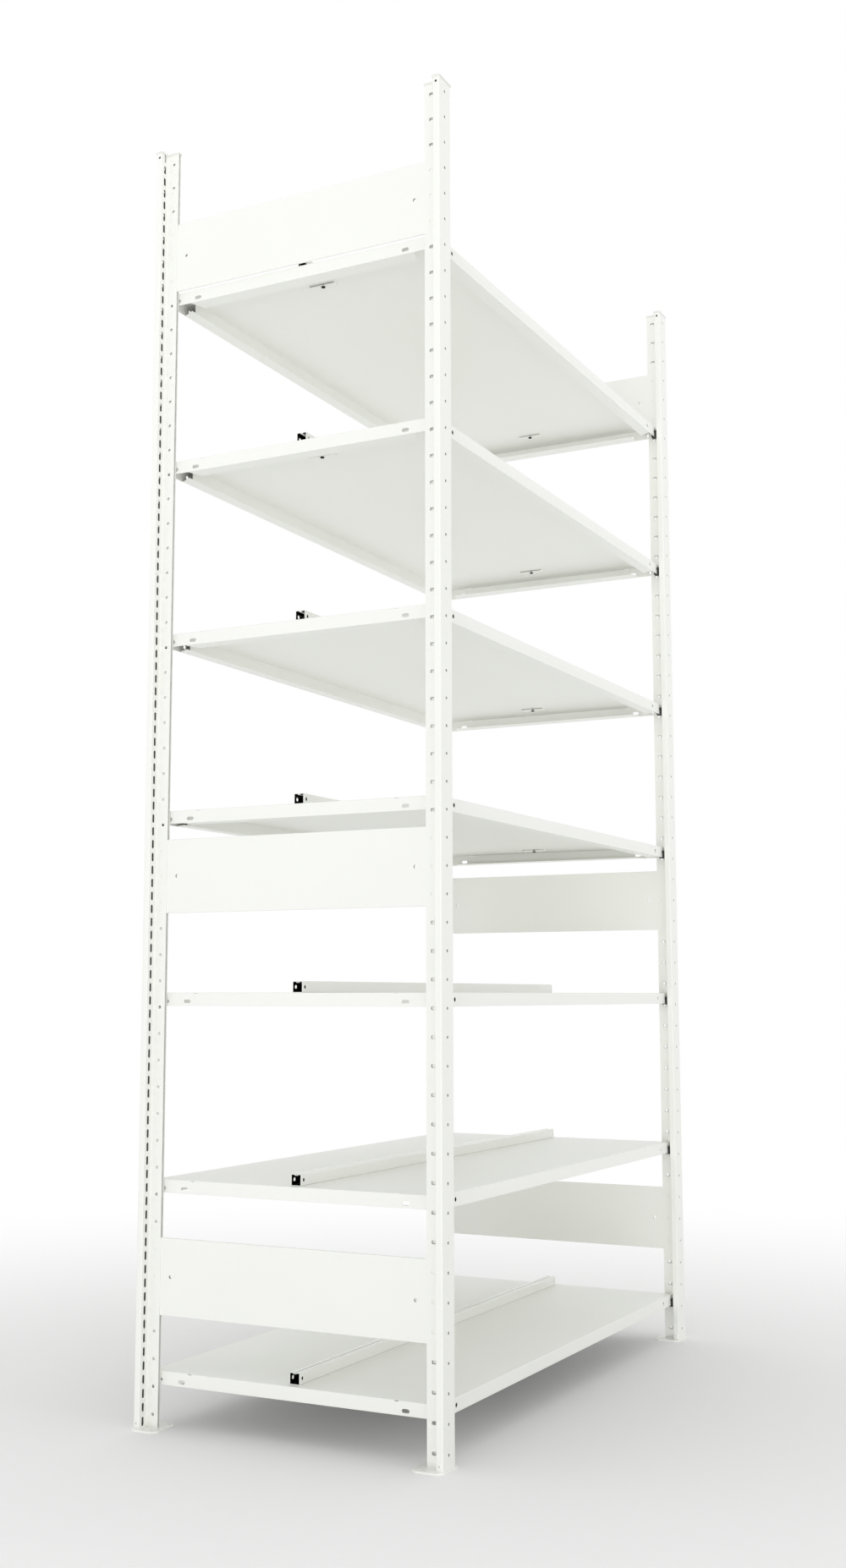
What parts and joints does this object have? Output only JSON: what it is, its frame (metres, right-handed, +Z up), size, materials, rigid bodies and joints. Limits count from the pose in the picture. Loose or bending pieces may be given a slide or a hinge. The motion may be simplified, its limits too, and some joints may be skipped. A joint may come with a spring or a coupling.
{
  "type": "office shelving unit",
  "caption": "Tall white steel office shelving unit: slotted T-section posts on foot plates, end panels, and lift-off folded shelves, each with a centre stop rail.",
  "frame": {"origin": "centre of the footprint, on the floor", "axes": "+X along the shelves, +Y from the front to the rear, +Z up"},
  "size_m": [1.3094, 0.646, 2.5],
  "materials": {
    "white_coat": "satin powder coat",
    "foot_coat": "satin powder coat",
    "cap_plastic": "matte",
    "rivet_metal": "satin lacquer",
    "strap_metal": "satin",
    "dark_screw": "blackened",
    "black_clip": "matte"
  },
  "bodies": {
    "frame": {"upright_front_left": "white_coat", "foot_plate_front_left": "foot_coat", "top_cap_front_left": "cap_plastic", "upright_rear_left": "white_coat", "foot_plate_rear_left": "foot_coat", "top_cap_rear_left": "cap_plastic", "upright_front_right": "white_coat", "foot_plate_front_right": "foot_coat", "top_cap_front_right": "cap_plastic", "upright_rear_right": "white_coat", "foot_plate_rear_right": "foot_coat", "top_cap_rear_right": "cap_plastic", "foot_rivets": "rivet_metal", "end_panel_left_low": "white_coat", "end_panel_left_mid": "white_coat", "end_panel_left_high": "white_coat", "end_panel_right_low": "white_coat", "end_panel_right_mid": "white_coat", "end_panel_right_high": "white_coat", "shelf_clips_1": "black_clip", "shelf_clips_2": "black_clip", "shelf_clips_3": "black_clip", "shelf_clips_4": "black_clip", "shelf_clips_5": "black_clip", "shelf_clips_6": "black_clip", "shelf_clips_7": "black_clip"},
    "lift_off_shelf_1": {"shelf_1": "white_coat", "centre_stop_1": "white_coat", "stop_straps_1": "strap_metal", "stop_screws_1": "dark_screw"},
    "lift_off_shelf_2": {"shelf_2": "white_coat", "centre_stop_2": "white_coat", "stop_straps_2": "strap_metal", "stop_screws_2": "dark_screw"},
    "lift_off_shelf_3": {"shelf_3": "white_coat", "centre_stop_3": "white_coat", "stop_straps_3": "strap_metal", "stop_screws_3": "dark_screw"},
    "lift_off_shelf_4": {"shelf_4": "white_coat", "centre_stop_4": "white_coat", "stop_straps_4": "strap_metal", "stop_screws_4": "dark_screw"},
    "lift_off_shelf_5": {"shelf_5": "white_coat", "centre_stop_5": "white_coat", "stop_straps_5": "strap_metal", "stop_screws_5": "dark_screw"},
    "lift_off_shelf_6": {"shelf_6": "white_coat", "centre_stop_6": "white_coat", "stop_straps_6": "strap_metal", "stop_screws_6": "dark_screw"},
    "lift_off_shelf_7": {"shelf_7": "white_coat", "centre_stop_7": "white_coat", "stop_straps_7": "strap_metal", "stop_screws_7": "dark_screw"}
  },
  "joints": [
    {"name": "shelf_1_lift", "type": "slide", "parent": "frame", "child": "lift_off_shelf_1", "axis": [0, 0, 1], "range_m": [0, 0.1]},
    {"name": "shelf_2_lift", "type": "slide", "parent": "frame", "child": "lift_off_shelf_2", "axis": [0, 0, 1], "range_m": [0, 0.1]},
    {"name": "shelf_3_lift", "type": "slide", "parent": "frame", "child": "lift_off_shelf_3", "axis": [0, 0, 1], "range_m": [0, 0.1]},
    {"name": "shelf_4_lift", "type": "slide", "parent": "frame", "child": "lift_off_shelf_4", "axis": [0, 0, 1], "range_m": [0, 0.1]},
    {"name": "shelf_5_lift", "type": "slide", "parent": "frame", "child": "lift_off_shelf_5", "axis": [0, 0, 1], "range_m": [0, 0.1]},
    {"name": "shelf_6_lift", "type": "slide", "parent": "frame", "child": "lift_off_shelf_6", "axis": [0, 0, 1], "range_m": [0, 0.1]},
    {"name": "shelf_7_lift", "type": "slide", "parent": "frame", "child": "lift_off_shelf_7", "axis": [0, 0, 1], "range_m": [0, 0.1]}
  ]
}
